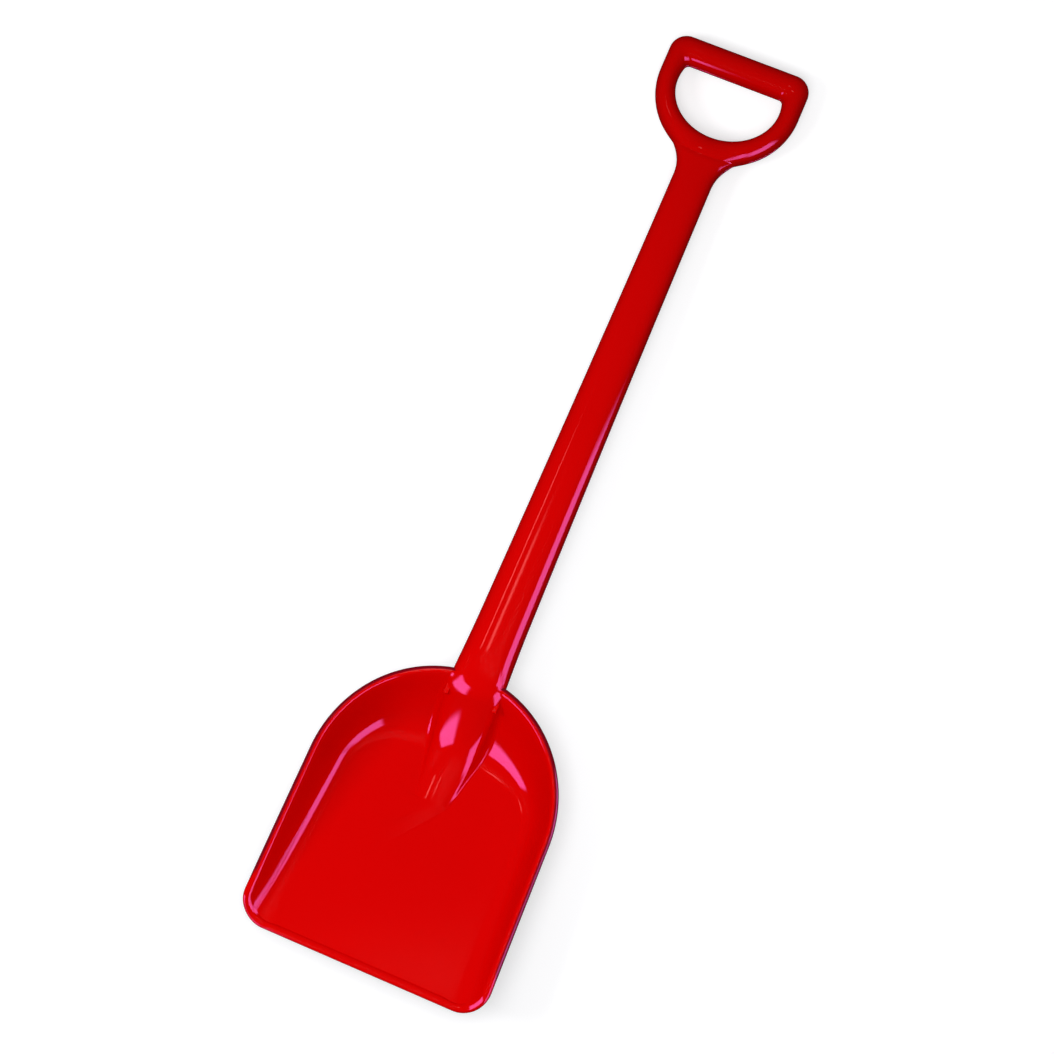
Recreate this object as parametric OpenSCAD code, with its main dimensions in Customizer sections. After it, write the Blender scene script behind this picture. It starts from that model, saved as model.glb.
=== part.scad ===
// Child's sand shovel: a deep scoop, a closed oval shaft and a D-shaped handle.
//
// One front moulding carries everything that shows: the scoop, the crowned front
// of the shaft and the front half of the D. Two back covers close the hollow behind
// it, one along the shaft and one round the D, on a tongue-and-groove seam.
//
// The shapes are first drawn in the shovel's own plane: x across, y from the digging
// edge towards the hand, z up out of the scoop, with z = 0 on the scoop's rim.
// The whole shovel is then tipped on to its heel and the back of its grip, as it
// lies on the ground, with the origin under the middle of its bounding box.

/* [Scoop outline] */
// Greatest width of the scoop, just behind the front corners
blade_w = 142; // [120:1:165]
// How much narrower the scoop is where the straight sides meet the round back
blade_taper = 3.2; // [0:0.2:8]
// Length of the scoop from the digging edge to the top of the round back
blade_l = 168.4; // [150:0.2:190]
// Length of the round back, measured along the shovel
arch_l = 72; // [60:1:84]
// Radius of the two front corners
corner_r = 16; // [10:1:24]

/* [Scoop section] */
// Depth of the floor under the rim plane at the digging edge
lip_depth = 8; // [6:0.5:11]
// Depth of the floor under the rim plane at the heel
heel_depth = 30; // [24:0.5:38]
// Distance from the digging edge to the heel
heel_y = 118; // [105:1:124]
// How far the side rims dip towards the digging edge
rim_dip = 2; // [0:0.5:3]
// Length over which the rim dips
rim_dip_l = 70; // [40:1:90]
// Wall thickness of the scoop
blade_wall = 2.5; // [2:0.1:3.2]
// Width of the rim bead, from its outer edge to the top of the wall
bead_w = 4; // [3.6:0.1:5]
// Height of the rim bead
bead_h = 3.8; // [3:0.1:5]
// Radius of the bead's outer top edge
bead_r = 1.8; // [1:0.1:2.2]
// Width of the bead's rounded inner edge
bead_in = 1; // [0.5:0.1:1.6]
// Height of the bead over the floor along the digging edge
edge_lip = 1; // [0.6:0.1:1.4]

/* [Scoop walls] */
// Distance from the bead to the flat floor, at the sides
run_side = 16; // [12:0.5:20]
// Distance from the bead to the flat floor, at the back
run_back = 40; // [32:0.5:46]
// Place of the wall's foot across the run at the sides, 0 upright to 1 slanting
foot_side = 0.36; // [0.28:0.01:0.5]
// Place of the wall's foot across the run at the back
foot_back = 0.7; // [0.6:0.01:0.8]

/* [Shaft] */
// Width of the shaft where it leaves the scoop
shaft_w_root = 30.6; // [29.3:0.1:34]
// Width of the shaft past its flared root
shaft_w_low = 29.3; // [26:0.1:32]
// Width of the shaft under the yoke
shaft_w_top = 22.8; // [20:0.1:26]
// Length over which the flared root fades out
root_fade = 34; // [20:1:60]
// Height of the crown above the rim plane
crown_z = 6; // [4:0.5:8]
// Depth of the seam under the rim plane at the scoop
seam_root = 5; // [3:0.5:6]
// Depth of the seam under the rim plane at the handle
seam_top = 2; // [1:0.5:3]
// Depth of the shaft's back under the seam at the scoop
back_root = 7.5; // [6.5:0.5:9]
// How fast the taper fades towards the handle, 1 is straight
shaft_ease = 1.5; // [1:0.1:2]
// Squareness of the shaft's section, 2 is an ellipse
shaft_square = 2.7; // [2.2:0.1:3.4]
// Squareness of the section at the wide end of the yoke
flare_square = 3.2; // [2.4:0.1:3.6]
// Wall thickness of the shaft and the handle
wall = 2.4; // [2.2:0.1:2.6]

/* [Frog] */
// Place along the shovel where the crown starts down into the scoop
frog_top_y = 181; // [176:1:186]
// Radius of the crown's first gentle bend towards the scoop
frog_r = 45; // [36:1:60]
// Place along the shovel where the bend tightens into the frog's crest
frog_crest_y = 161; // [159:0.5:163]
// Radius of the crest
frog_crest_r = 12; // [8:0.5:16]
// Steepest slope of the frog, under its crest, in degrees
frog_slope = 45; // [43:0.5:47]
// Radius of the hollow curve from the steep part down to the floor
frog_foot_r = 50; // [46:1:54]
// Rise that is left in the curve where it runs out straight into the floor
frog_run_out = 0.1; // [0.05:0.01:0.15]
// Height of the frog's crown over its own edges
frog_edge_rise = 8; // [7:0.5:9]
// Squareness of the frog's section, 2 is an ellipse
frog_square = 2; // [2:0.1:2.4]
// Share by which the frog narrows to its toe
frog_narrow = 0.12; // [0:0.01:0.3]
// Depth that the frog's underside is sunk into the scoop's wall
frog_sink = 0.8; // [0.5:0.1:1]
// Thickness of the frog over the hollow behind it, measured upright
frog_wall = 3.3; // [3:0.1:3.8]

/* [Handle] */
// Overall length of the shovel
total_l = 550; // [500:1:600]
// Width of the D
handle_w = 83.6; // [78:0.2:95]
// Radius of the D's top corners
handle_corner_r = 10; // [8:0.5:12]
// Width of the hand opening
hand_w = 60.8; // [56:0.2:66]
// Distance from the widest place of the hand opening to its round bottom
hand_drop = 27.2; // [24:0.2:30]
// Distance from the widest place of the hand opening to the grip
hand_rise = 9; // [7:0.5:12]
// Radius of the two corners under the grip
hand_corner_r = 3; // [2:0.5:5]
// Diameter of the round grip
grip_d = 16; // [14:0.5:18]
// Radius of the hollow flare between the shaft and the D
flare_r = 24; // [18:1:30]
// Squareness of the D's section, 2 is round
handle_square = 2.1; // [2:0.1:2.8]

// Depth of the flats that the heel and the grip lie on
rest_flat = 0.3; // [0.2:0.05:0.5]

/* [Seam] */
// Gap in the seam between a cover and the front moulding
seam_gap = 0.1; // [0.05:0.01:0.2]
// Height of the tongue on the covers
tongue_h = 1.5; // [1:0.1:2]
// Thickness of the tongue on the covers
tongue_t = 1.1; // [0.9:0.05:1.2]
// Gap between the tongue and its groove
tongue_gap = 0.12; // [0.08:0.01:0.2]
// Length of the closed root of the shaft behind the scoop
root_l = 8; // [6:0.5:12]
// Place where the shaft cover meets the handle cover, below the D's hollow flare
cover_split = 4; // [2:0.5:10]

/* [Pins] */
// Diameter of the locating pins on the covers
pin_d = 4; // [3:0.1:4.6]
// Gap round a locating pin in its socket
pin_gap = 0.1; // [0.05:0.01:0.2]
// Wall round a pin socket
socket_wall = 1.5; // [1.2:0.1:1.8]
// Number of locating pins along the shaft cover
shaft_pins = 4; // [2:1:6]

/* [Hidden] */
red = [0.83, 0.02, 0.02];
red_cover = [0.74, 0.02, 0.03];
arc_steps = 12;
frog_least = 0.3;

// Scoop: its width where the sides meet the round back, and places along the shovel
blade_back_w = blade_w - blade_taper;
arch_y = blade_l - arch_l;
spine_y = corner_r + 34;
front_band = 8;
side_n = 8;
arch_n = 17;
corner_n = 6;
front_n = 6;

// D: centre of the outer round, the opening's centre, and the hollow flare
hand_r = handle_w / 2;
hand_y = total_l - grip_d - hand_rise;
round_y = hand_y + 1;
flare_x = shaft_w_top / 2 + flare_r;
flare_y = round_y - sqrt(pow(hand_r + flare_r, 2) - pow(flare_x, 2));
flare_end_y = flare_y + (round_y - flare_y) * flare_r / (hand_r + flare_r);
split_y = flare_y + cover_split;
root_y = blade_l + root_l;
grip_r = grip_d / 2;

// Grip, and the pins with their sockets
grip_y = total_l - grip_r;
socket_d = pin_d + 2 * (pin_gap + socket_wall);
socket_clear = tongue_h + tongue_gap + 0.5;
pin_reach = crown_z + seam_top - wall - 0.6;
pin_margin = 24;
pin_pair = 18;

// General helpers

function mix(a, b, t) = a + (b - a) * t;
function clamp01(t) = min(1, max(0, t));
function unit(v) = v / norm(v);
function flip_x(p) = [-p[0], p[1]];
function reversed(list) = [for (i = [len(list) - 1:-1:0]) list[i]];

// Triangles of a loft through equal rings of points. A turned loft has its rings the
// other way round. Its ends are closed by a cap given as triangles of one ring, or by
// a fan round a hub point, and a loft with neither runs back to its first ring.
function turned(faces, turn) = turn ? [for (f = faces) reversed(f)] : faces;
function side_faces(rings, size, closed) = [
    for (r = [0:rings - (closed ? 1 : 2)]) for (i = [0:size - 1])
        let (a = r * size, b = ((r + 1) % rings) * size, j = (i + 1) % size)
            each [[a + i, b + i, b + j], [a + i, b + j, a + j]]
];
function cap_faces(cap, rings, size) = concat(
    cap,
    [for (f = turned(cap, true)) f + (rings - 1) * size * [1, 1, 1]]
);
function hub_faces(rings, size) = [
    for (i = [0:size - 1]) let (j = (i + 1) % size, last = (rings - 1) * size)
        each [[i, j, rings * size], [last + j, last + i, rings * size + 1]]
];
module loft(rings, cap = [], hubs = [], turn = false) {
    size = len(rings[0]);
    open = len(cap) + len(hubs) > 0;
    faces = concat(
        side_faces(len(rings), size, !open),
        cap_faces(cap, len(rings), size),
        len(hubs) > 0 ? hub_faces(len(rings), size) : []
    );
    polyhedron(points = concat([for (ring = rings) each ring], hubs), faces = turned(faces, turn));
}

// Caps for rings whose points lie in pairs: from one side over to the other, or from
// one edge along the top to the other edge and back along the underside
function strip(a, b, c, d) = b == c ? [[a, b, d]] : [[a, b, c], [a, c, d]];
function arch_cap(size) = [
    for (i = [0:ceil(size / 2) - 2]) each strip(i, i + 1, size - 2 - i, size - 1 - i)
];
function lens_cap(size) = concat(
    [[0, 1, size - 1], [size / 2 - 1, size / 2, size / 2 + 1]],
    [for (i = [1:size / 2 - 2]) each strip(i, i + 1, size - 1 - i, size - i)]
);

// Half of a rounded section as [x, z] factors, from one edge over to the other
function section_arc(square, steps) = [
    for (i = [0:steps]) let (a = 180 * i / steps)
        [sign(cos(a)) * pow(abs(cos(a)), 2 / square), pow(abs(sin(a)), 2 / square)]
];

// Scoop: heights of the rim and of the floor

function rim_z(y) = -rim_dip * pow(max(0, 1 - y / rim_dip_l), 2);
function floor_z(y) = -lip_depth - (heel_depth - lip_depth) * y / heel_y;

// Outline from the middle of the back round the right side to the middle of the
// digging edge, as [place, inward normal, aim of the ray on the spine]
function outline_half() = concat(
    [for (i = [0:arch_n - 1]) let (a = 90 - 90 * i / arch_n, x = blade_back_w / 2)
        [[x * cos(a), arch_y + arch_l * sin(a)],
         -unit([arch_l * cos(a), x * sin(a)]), [0, arch_y], a]],
    [for (i = [0:side_n - 1]) let (t = i / side_n)
        [[mix(blade_back_w, blade_w, t) / 2, mix(arch_y, corner_r, t)],
         [-1, 0], [0, mix(arch_y, spine_y, t)], 0]],
    [for (i = [0:corner_n - 1]) let (a = -90 * i / corner_n, x = blade_w / 2 - corner_r)
        [[x + corner_r * cos(a), corner_r + corner_r * sin(a)],
         [-cos(a), -sin(a)], [0, spine_y], a]],
    [for (i = [0:front_n]) let (t = i / front_n)
        [[(blade_w / 2 - corner_r) * (1 - t), 0], [0, 1], [0, spine_y], -90]]
);
function mirrored(ray) = [flip_x(ray[0]), flip_x(ray[1]), flip_x(ray[2]), ray[3]];
function outline() = let (half = outline_half(), n = len(half)) concat(
    half,
    [for (i = [n - 2:-1:1]) mirrored(half[i])]
);

// A value that changes with the direction the rim faces, from the side to the back
function by_side(angle, side, back) = mix(side, back, pow(sin(max(0, angle)), 2));

// Point on a ray, a given distance in from the rim
function ray_point(ray, inset) =
    let (dir = unit(ray[2] - ray[0])) ray[0] + dir * inset / (dir * ray[1]);

// Wall profile: a cubic curve from the bead to the floor, as [share of run, share of drop]
wall_top_pull = 0.75;
wall_foot_pull = 0.75;
function wall_curve(t, foot) =
    let (s = 1 - t, x1 = wall_top_pull * foot, x2 = 1 - wall_foot_pull * (1 - foot))
        [3 * s * s * t * x1 + 3 * s * t * t * x2 + t * t * t,
         3 * s * s * t * wall_top_pull + 3 * s * t * t + t * t * t];
wall_steps = [0.1, 0.2, 0.32, 0.45, 0.58, 0.7, 0.82, 0.91, 1];

// The side walls run straight out to the digging edge, where the corners trim them.
// A ray from there starts part of the way down the side wall's curve.
function curve_place(share, low = 0, high = 1, tries = 18) =
    let (t = (low + high) / 2, under = wall_curve(t, foot_side)[0] < share)
        tries == 0 ? t : curve_place(share, under ? t : low, under ? high : t, tries - 1);
function side_share(p) = clamp01((blade_w / 2 - abs(p[0]) - bead_w) / run_side);
function trimmed(ray) = concat(
    ray, ray[3] < 0 ? curve_place(side_share(ray_point(ray, bead_w))) : 0);
function at_front(ray) = ray[4] > 0.98;

// Height of the bead on a ray: the rim's, down to a low lip over the floor at the front
function bead_z(ray, y) =
    mix(rim_z(y), floor_z(y) + edge_lip, wall_curve(ray[4], foot_side)[1]);

function wall_point(ray, t) =
    let (
        c = wall_curve(mix(ray[4], 1, t), by_side(ray[3], foot_side, foot_back)),
        run = by_side(ray[3], run_side, run_back),
        dir = unit(ray[2] - ray[0]),
        past = abs(ray[0][0]) - blade_w / 2 + bead_w + run_side * c[0],
        p = at_front(ray) ? ray_point(ray, bead_w + front_band * t)
            : ray[3] < 0 ? ray[0] + dir * past / abs(dir[0])
            : ray_point(ray, bead_w + run * c[0])
    )
        [p[0], p[1], at_front(ray) ? floor_z(p[1]) : mix(rim_z(p[1]), floor_z(p[1]), c[1])];
function bead_point(ray, inset, below) =
    let (p = ray_point(ray, inset)) [p[0], p[1], bead_z(ray, p[1]) - below];
function bead_edge(ray) =
    let (a = bead_point(ray, bead_w - bead_in, 0), b = bead_point(ray, bead_w, 0),
         c = wall_point(ray, wall_steps[0]))
        a / 4 + b / 2 + c / 4;

// Rings of the scoop's upper surface, from the floor out to the bead's outer edge
blade_rays = [for (ray = outline()) trimmed(ray)];
top_walls = [for (t = reversed(wall_steps)) [for (ray = blade_rays) wall_point(ray, t)]];
top_bead = concat(
    [[for (ray = blade_rays) bead_edge(ray)]],
    [[for (ray = blade_rays) bead_point(ray, bead_w - bead_in, 0)]],
    [for (a = [90, 45, 0]) [for (ray = blade_rays)
        bead_point(ray, bead_r * (1 - cos(a)), bead_r * (1 - sin(a)))]]
);
under_bead = [
    [for (ray = blade_rays) bead_point(ray, 0, bead_h - bead_in)],
    [for (ray = blade_rays) bead_point(ray, bead_in, bead_h)]
];

// The outer surface lies one wall thickness behind the inner one
function across(ring, i) = ring[(i + 1) % len(ring)] - ring[(i + len(ring) - 1) % len(ring)];
function behind(r, i) =
    let (
        ring = top_walls[r],
        down = top_walls[max(0, r - 1)][i] - top_walls[min(len(top_walls) - 1, r + 1)][i],
        n = unit(cross(across(ring, i), down)),
        up = n[2] < 0 ? -n : n,
        q = ring[i] - up * blade_wall
    )
        [q[0], q[1], min(q[2],
            bead_z(blade_rays[i], ring[i][1]) - bead_h - 0.05 * (len(top_walls) - r))];
under_walls = [for (r = [len(top_walls) - 1:-1:0]) [for (i = [0:len(blade_rays) - 1]) behind(r, i)]];

module scoop() {
    hub_y = (spine_y + arch_y) / 2;
    hub = [0, hub_y, floor_z(hub_y)];
    loft(concat(top_walls, top_bead, under_bead, under_walls),
        hubs = [hub, hub - [0, 0, blade_wall]]);
}

// Shaft: share of the way from the scoop to the D
function along(y) = clamp01((y - blade_l) / (flare_y - blade_l));
function shaft_half(y) =
    mix(shaft_w_top, shaft_w_low, pow(1 - along(y), shaft_ease)) / 2
    + (shaft_w_root - shaft_w_low) / 2 * pow(clamp01(1 - (y - blade_l) / root_fade), 2);
function flare_half(y) = y <= flare_y ? shaft_half(y)
    : flare_x - sqrt(pow(flare_r, 2) - pow(y - flare_y, 2));
function seam_z(y) = -mix(seam_root, seam_top, along(y));
function front_rise(y) = crown_z - seam_z(y);
function back_drop(y) = mix(back_root, grip_r, along(y));
function squareness(y) = mix(shaft_square, flare_square, clamp01((y - flare_y) / flare_r));

// Frog: how far the crown has come down at a place along the shovel. It bends gently,
// then round the crest to its steepest slope, and eases out again towards the floor.
frog_first = (frog_top_y - frog_crest_y) / frog_r;
frog_steep_y = frog_crest_y - (tan(frog_slope) - frog_first) * frog_crest_r;
frog_out_y = frog_steep_y - (tan(frog_slope) - frog_run_out) * frog_foot_r;
function arc_drop(d, slope, r) = d * slope + d * d / 2 / r;
function frog_drop(y) =
    arc_drop(max(0, frog_top_y - max(y, frog_crest_y)), 0, frog_r)
    + arc_drop(max(0, frog_crest_y - max(y, frog_steep_y)), frog_first, frog_crest_r)
    + arc_drop(max(0, frog_steep_y - max(y, frog_out_y)), tan(frog_slope), -frog_foot_r)
    + max(0, frog_out_y - y) * frog_run_out;
function frog_squareness(y) =
    mix(frog_square, shaft_square, clamp01((y - frog_steep_y) / (blade_l - frog_steep_y)));
function frog_edge_drop(y) = y > blade_l - bead_w ? 0
    : max(0, frog_drop(y) - front_rise(blade_l) + frog_edge_rise);
function frog_half(y) = shaft_half(blade_l) * (1 - frog_narrow * pow((blade_l - y) / run_back, 2));

// The scoop's back wall on the middle line, as [place, height]
back_ray = blade_rays[0];
function back_wall(t) = let (p = wall_point(back_ray, t)) [p[1], p[2]];

// Ring of a section lying across the shovel: upper half, then lower half. Over the
// scoop its edges and its underside stay inside the back wall, whose height is wall_z.
function frog_ring(y, wall_z) =
    let (
        half = frog_half(y),
        edge = seam_z(y) - frog_edge_drop(y),
        rise = front_rise(y) - frog_drop(y) + frog_edge_drop(y),
        arc = section_arc(frog_squareness(y), arc_steps),
        sunk = wall_z - frog_sink,
        under = [for (p = arc) min(seam_z(y) - back_drop(y) * p[1], sunk)]
    )
        concat(
            [for (i = [arc_steps:-1:0]) [arc[i][0] * half, y,
                max(edge + rise * arc[i][1], max(under[i], sunk) + frog_least)]],
            [for (i = [1:arc_steps - 1]) [arc[i][0] * half, y, under[i]]]
        );
function root_ring(y) =
    let (half = shaft_half(y), arc = section_arc(shaft_square, arc_steps),
         rise = front_rise(y) - frog_drop(y))
        concat(
            [for (i = [arc_steps:-1:0]) [arc[i][0] * half, y, seam_z(y) + rise * arc[i][1]]],
            [for (i = [1:arc_steps - 1]) [arc[i][0] * half, y, seam_z(y) - back_drop(y) * arc[i][1]]]
        );
function frog_hollow_ring(y) =
    let (
        half = frog_half(y) - wall,
        edge = seam_z(y) - frog_edge_drop(y) - frog_wall,
        rise = front_rise(y) - frog_drop(y) + frog_edge_drop(y),
        open_z = -heel_depth - 3 * blade_wall
    )
        concat(
            [[half, y, open_z]],
            [for (p = section_arc(frog_squareness(y), arc_steps)) [p[0] * half, y, edge + rise * p[1]]],
            [[-half, y, open_z]]
        );

// Frog and closed root: one moulded hump on the scoop's back wall, hollow from behind
frog_toe = [for (d = [18, 14, 10, 6, 2]) [heel_y - d, floor_z(heel_y - d)]];
frog_places = concat(
    frog_toe,
    [for (t = [0.95, 0.85, 0.74, 0.62, 0.5, 0.38, 0.28, 0.18, 0.08]) back_wall(t)],
    [[blade_l - bead_w / 2, -bead_r]]
);
module frog() {
    loft(concat(
        [for (p = frog_places) frog_ring(p[0], p[1])],
        [for (y = [blade_l, root_y]) root_ring(y)]
    ), cap = lens_cap(2 * arc_steps));
}
module frog_hollow() {
    hollow_end = root_y - wall;
    loft([for (t = [0:0.1:1]) frog_hollow_ring(mix(heel_y + 2, hollow_end, t))],
        cap = arch_cap(arc_steps + 3), turn = true);
}

// Half sections in local terms: across from one edge to the other, and a height over
// the seam. The front half has a hollow with a groove along its edges. The back half
// hangs under the seam, carries a tongue that fits the groove, and has its own hollow.
front_lip = wall - tongue_t - tongue_gap;
back_lip = wall - tongue_t;
groove_h = tongue_h + tongue_gap;
groove_draft = 0.3;
hollow_foot = groove_h + groove_draft;
beam_past = 1;
ring_past = 1.4;
function box_section(half, low, high) =
    [[half, low], [half, high], [-half, high], [-half, low]];
function arch_section(half, base, rise, square) =
    [for (p = section_arc(square, arc_steps)) [p[0] * half, base + rise * p[1]]];
function footed(points, feet) = concat(feet, points, reversed([for (p = feet) flip_x(p)]));
function half_section(kind, half, rise, drop, square, past) =
    kind == "front" ? arch_section(half, 0, rise, square)
    : kind == "front_hollow" ? footed(
        arch_section(half - wall, hollow_foot, rise - wall - hollow_foot, square),
        [[half - front_lip, -past], [half - front_lip, groove_h]])
    : kind == "back" ? arch_section(half, -seam_gap, seam_gap - drop, square)
    : kind == "tall_back" ? footed(
        arch_section(half, -seam_gap, seam_gap - drop, square), [[half, past]])
    : kind == "back_hollow" ? footed(
        arch_section(half - wall, -seam_gap, wall + seam_gap - drop, square),
        [[half - wall, tongue_h + past]])
    : kind == "tongue" ? box_section(half - back_lip, -2 * seam_gap, tongue_h)
    : box_section(half - back_lip, -seam_gap - past / 4, tongue_h + past);
function hangs(kind) = kind == "back" || kind == "back_hollow" || kind == "tall_back";

// Places along the shaft and along the flare
shaft_steps = concat(
    [for (t = [0:0.25:1]) mix(root_y, blade_l + root_fade, t)],
    [for (t = [1:6]) mix(blade_l + root_fade, flare_y, t / 6)]
);
flare_steps = [for (t = [1:6]) flare_y + (flare_end_y - flare_y) * sin(90 * t / 6)];
front_steps = concat(shaft_steps, flare_steps);
yoke_steps = concat([split_y], [for (y = flare_steps) if (y > split_y + 1) y]);
cover_steps = concat(
    [root_y + seam_gap],
    [for (y = shaft_steps) if (y > root_y + 1) y],
    [split_y - seam_gap]
);

module beam(kind, places) {
    rings = [for (y = places)
        [for (p = half_section(kind, flare_half(y), front_rise(y) - frog_drop(y), back_drop(y),
                squareness(y), beam_past))
            [p[0], y, seam_z(y) + p[1]]]];
    loft(rings, cap = arch_cap(len(rings[0])), turn = !hangs(kind));
}

// D: pairs of points, one on the edge of the hand opening and one on the outline,
// from the yoke round the right side to the middle of the grip
hand_corner_y = hand_rise - hand_corner_r;
hand_corner_x = (hand_w / 2 - hand_corner_r)
    * sqrt(1 - pow(hand_corner_y / (hand_drop - hand_corner_r), 2));
hand_corner_from = atan2(
    hand_corner_y / pow(hand_drop - hand_corner_r, 2),
    hand_corner_x / pow(hand_w / 2 - hand_corner_r, 2)
);
top_rise = total_l - hand_y;
outer_corner = [hand_r - handle_corner_r, top_rise - handle_corner_r];
function hand_round(a) =
    [cos(a), sin(a)] / norm([2 * cos(a) / hand_w, sin(a) / hand_drop]);
function hand_corner(a) =
    [hand_corner_x + hand_corner_r * cos(a), hand_corner_y + hand_corner_r * sin(a)];
function outer_round(a) =
    let (dir = [cos(a), sin(a)], rise = round_y - hand_y, c = rise * dir[1])
        dir * (c + sqrt(hand_r * hand_r - rise * rise + c * c));
hand_side_to = atan2(hand_corner(hand_corner_from)[1], hand_corner(hand_corner_from)[0]);
half_pairs = concat(
    [for (i = [0:11]) let (a = -90 + 7.5 * i) [hand_round(a), outer_round(a)]],
    [for (t = [0, 1 / 3, 2 / 3])
        [hand_round(hand_side_to * t), [hand_r, mix(round_y - hand_y, outer_corner[1], t)]]],
    [for (t = [0:6]) let (a = 15 * t)
        [hand_corner(mix(hand_corner_from, 90, t / 6)),
         outer_corner + handle_corner_r * [cos(a), sin(a)]]],
    [for (t = [0.25:0.25:1])
        [[hand_corner_x * (1 - t), hand_rise], [outer_corner[0] * (1 - t), top_rise]]]
);
handle_pairs = concat(
    half_pairs,
    [for (i = [len(half_pairs) - 2:-1:1]) [for (p = half_pairs[i]) flip_x(p)]]
);
function pair_middle(pair) = [0, hand_y] + (pair[0] + pair[1]) / 2;

// Places a half section across the D between the two points of a pair
function handle_ring(pair, kind) =
    let (across = pair[1] - pair[0], dir = unit(across), middle = pair_middle(pair))
        [for (p = half_section(kind, norm(across) / 2, grip_r, grip_r, handle_square, ring_past))
            [middle[0] + dir[0] * p[0], middle[1] + dir[1] * p[0], p[1] - seam_top]];
module handle_ring_part(kind) {
    loft([for (pair = handle_pairs) handle_ring(pair, kind)], turn = !hangs(kind));
}

// Locating pins on the covers, in sockets that hang behind the front moulding
pin_places = concat(
    [for (i = [0:shaft_pins - 1])
        [0, mix(root_y + pin_margin, split_y - pin_margin, i / (shaft_pins - 1))]],
    [for (i = [0, pin_pair, len(handle_pairs) - pin_pair]) pair_middle(handle_pairs[i])]
);
module at_pins(y_low, y_high) {
    for (p = pin_places) {
        if (p[1] > y_low && p[1] < y_high)
            translate([p[0], p[1], seam_z(p[1])]) children();
    }
}
module sockets() {
    for (p = pin_places) {
        translate([p[0], p[1], seam_z(p[1]) + socket_clear]) rotate([0, 0, p[0] < 0 ? 180 : 0])
            cylinder(d = socket_d, h = front_rise(p[1]) - wall / 2 - socket_clear);
    }
}
module socket_bores() {
    at_pins(root_y, total_l)
        translate([0, 0, -beam_past])
            cylinder(d = pin_d + 2 * pin_gap, h = pin_reach + pin_gap + beam_past);
}
module pins(y_low, y_high) {
    at_pins(y_low, y_high)
        translate([0, 0, wall / 2 - back_root])
            cylinder(d = pin_d, h = back_root - wall / 2 + pin_reach);
}

// Rest: the whole shovel tipped on to its heel and the back of its grip. The lowest
// point of the scoop is found again for each better tilt.
function height_at(p, tilt) = p[2] * cos(tilt) - p[1] * sin(tilt);
heel_points = [for (ring = under_walls) each ring];
function heel_height(tilt) = min([for (p = heel_points) height_at(p, tilt)]);
function level_tilt(p) =
    let (away = [grip_y - p[1], p[2] + seam_top])
        -asin(grip_r / norm(away)) - atan2(away[1], away[0]);
function settled(tilt, times) =
    times == 0 ? tilt
    : let (low = heel_height(tilt))
        settled(level_tilt([for (p = heel_points) if (height_at(p, tilt) <= low) p][0]), times - 1);
rest_tilt = settled(3, 5);
rest_lift = -heel_height(rest_tilt) - rest_flat;
rest_mid = (total_l * cos(rest_tilt)
    - (seam_top + lip_depth - edge_lip + bead_h - bead_in) * sin(rest_tilt)) / 2;
module at_rest() {
    translate([0, -rest_mid, rest_lift]) rotate([-rest_tilt, 0, 0]) children();
}
module ground() {
    translate([-handle_w, -total_l, -heel_depth])
        cube([2 * handle_w, 2 * total_l, heel_depth]);
}

module front_shell() {
    color(red) difference() {
        at_rest() difference() {
            union() {
                difference() {
                    union() {
                        scoop();
                        frog();
                        beam("front", front_steps);
                        handle_ring_part("front");
                    }
                    frog_hollow();
                    beam("front_hollow", front_steps);
                    handle_ring_part("front_hollow");
                }
                sockets();
            }
            socket_bores();
        }
        ground();
    }
}
module shaft_cover() {
    color(red_cover) at_rest() {
        difference() {
            union() {
                beam("back", cover_steps);
                beam("tongue", cover_steps);
            }
            beam("back_hollow", concat([root_y - beam_past], shaft_steps, [split_y + beam_past]));
        }
        pins(root_y, split_y);
    }
}
module above_seam(height) {
    translate([-handle_w, split_y - beam_past, height - seam_top])
        cube([2 * handle_w, total_l - split_y + 2 * beam_past, grip_d]);
}
module yoke_and_ring(kind) {
    beam(kind, yoke_steps);
    handle_ring_part(kind);
}
module handle_cover() {
    color(red_cover) difference() {
        at_rest() {
            difference() {
                union() {
                    difference() {
                        yoke_and_ring("tall_back");
                        above_seam(-seam_gap);
                    }
                    difference() {
                        yoke_and_ring("tall_tongue");
                        above_seam(tongue_h);
                    }
                }
                beam("back_hollow", concat([split_y - beam_past], yoke_steps));
                handle_ring_part("back_hollow");
            }
            pins(split_y, total_l);
        }
        ground();
    }
}

front_shell();
shaft_cover();
handle_cover();
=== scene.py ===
"""Child's red sand shovel on a pale studio floor.

The shovel's surfaces are worked out in its own plane, in millimetres: x across, y from the
digging edge towards the hand, z up out of the scoop, with z = 0 on the scoop's rim. Each
mesh is then tipped to the shovel's resting place and written in metres.
"""
import logging
from dataclasses import dataclass, field
from enum import Enum

import bmesh
import bpy
import numpy as np
from mathutils import Matrix, Vector


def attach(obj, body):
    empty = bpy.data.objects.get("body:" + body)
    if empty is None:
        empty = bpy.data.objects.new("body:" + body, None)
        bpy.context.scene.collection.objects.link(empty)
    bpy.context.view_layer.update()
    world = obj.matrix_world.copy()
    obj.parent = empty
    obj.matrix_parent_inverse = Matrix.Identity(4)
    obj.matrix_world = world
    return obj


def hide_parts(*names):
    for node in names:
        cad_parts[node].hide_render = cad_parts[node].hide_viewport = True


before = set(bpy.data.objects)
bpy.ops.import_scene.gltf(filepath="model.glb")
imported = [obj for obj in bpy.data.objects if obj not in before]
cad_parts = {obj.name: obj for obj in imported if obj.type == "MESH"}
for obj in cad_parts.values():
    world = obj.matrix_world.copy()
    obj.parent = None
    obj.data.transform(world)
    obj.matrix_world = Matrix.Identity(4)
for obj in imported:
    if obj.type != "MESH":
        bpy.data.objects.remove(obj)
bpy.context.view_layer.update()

log = logging.getLogger("sand_shovel")
Array = np.ndarray
Triple = tuple[float, float, float]
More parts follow.
